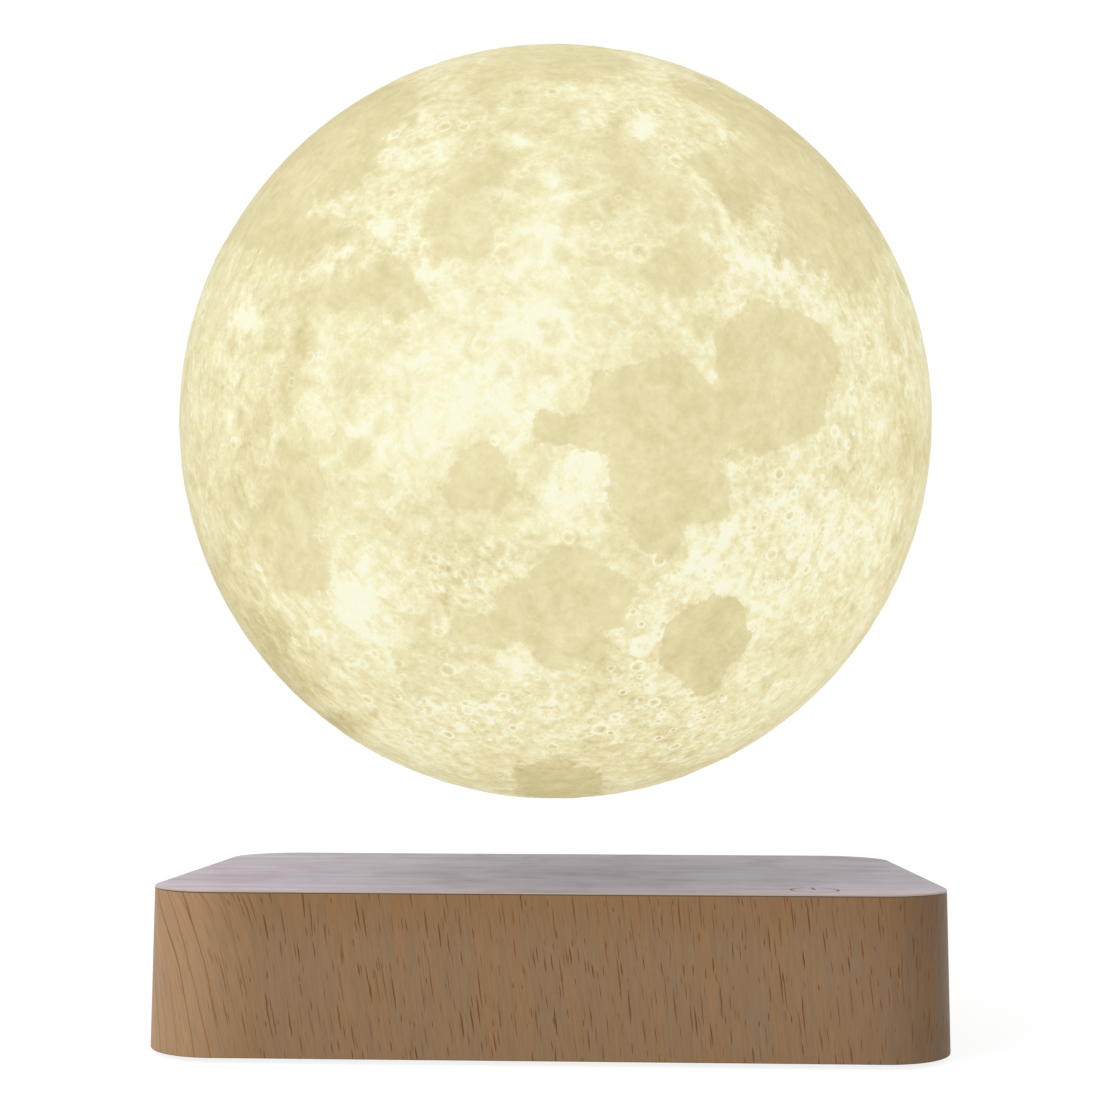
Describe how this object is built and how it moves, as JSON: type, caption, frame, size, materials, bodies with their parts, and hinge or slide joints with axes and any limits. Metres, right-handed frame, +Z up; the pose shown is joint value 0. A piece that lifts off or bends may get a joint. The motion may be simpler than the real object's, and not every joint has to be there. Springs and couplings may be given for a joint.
{
  "type": "moon lamp",
  "caption": "Levitating moon lamp: a glowing cratered globe that hovers and turns over a low wooden block with a power inlet.",
  "frame": {"origin": "centre of the footprint, on the underside of the feet", "axes": "+Z up through the globe's centre, -Y to the front with the touch mark, +X to the right along the block's width"},
  "size_m": [0.169, 0.169, 0.218],
  "materials": {
    "core_wood": "machined, unfinished inside",
    "top_wood": "satin oiled veneer",
    "side_wood": "satin oiled veneer",
    "plate_plastic": "fine spark-eroded texture",
    "module_plastic": "moulded",
    "screw_steel": "zinc plated",
    "foot_rubber": "matt",
    "mark_print": "thin dark inlay",
    "copper": "copper, enamelled where wound",
    "lead_cover": "insulated lead",
    "jack_plastic": "moulded",
    "gilt": "plated",
    "tinned": "tinned",
    "ferrite": "sintered",
    "board": "solder mask",
    "chip": "moulded",
    "capacitor": "sleeved can",
    "nylon": "moulded",
    "magnet_nickel": "nickel plated",
    "moon_print": "printed, lit from inside",
    "white_plastic": "moulded",
    "light_board": "white mask on aluminium",
    "diode": "phosphor"
  },
  "bodies": {
    "base": {"wood_core": "core_wood", "top_veneer": "top_wood", "side_veneer": "side_wood", "bottom_plate": "plate_plastic", "plate_screws": "screw_steel", "foot_1": "foot_rubber", "foot_2": "foot_rubber", "foot_3": "foot_rubber", "foot_4": "foot_rubber", "touch_mark": "mark_print", "touch_pad": "copper", "touch_lead": "lead_cover", "jack_body": "jack_plastic", "jack_pin": "gilt", "jack_nut": "screw_steel", "jack_terminals": "tinned", "jack_leads": "lead_cover", "module_frame": "module_plastic", "ring_magnet": "ferrite", "coil_tray": "module_plastic", "transmitter_ferrite": "ferrite", "transmitter_coil": "copper", "transmitter_leads": "copper", "control_board": "board", "control_chips": "chip", "control_bobbin_1": "nylon", "control_bobbin_2": "nylon", "control_bobbin_3": "nylon", "control_bobbin_4": "nylon", "control_winding_1": "copper", "control_winding_2": "copper", "control_winding_3": "copper", "control_winding_4": "copper", "sensor_board": "board", "position_sensors": "chip", "sensor_pins": "gilt", "board_screws": "screw_steel", "power_board": "board", "power_chips": "chip", "power_capacitors": "capacitor", "power_inductor": "ferrite", "lead_sockets": "nylon", "board_link": "tinned"},
    "float_core": {"float_magnet": "magnet_nickel"},
    "moon": {"moon_shell": "moon_print", "moon_cap": "moon_print", "shell_ring": "white_plastic", "globe_screws": "screw_steel", "magnet_cup": "white_plastic", "magnet_lid": "white_plastic", "receiver_coil": "copper", "receiver_ferrite": "ferrite", "receiver_leads": "copper", "driver_board": "board", "driver_parts": "chip", "standoffs": "gilt", "light_board": "light_board", "light_diodes": "diode", "light_leads": "lead_cover"}
  },
  "joints": [
    {"name": "moon_lift", "type": "slide", "parent": "base", "child": "float_core", "axis": [0, 0, 1], "range_m": [-0.015, 0.06], "stiffness_N_per_m": 200, "springref_m": 0.01771},
    {"name": "moon_spin", "type": "hinge", "parent": "float_core", "child": "moon", "pos_m": [0, 0, 0.1335], "axis": [0, 0, 1], "continuous": true}
  ]
}
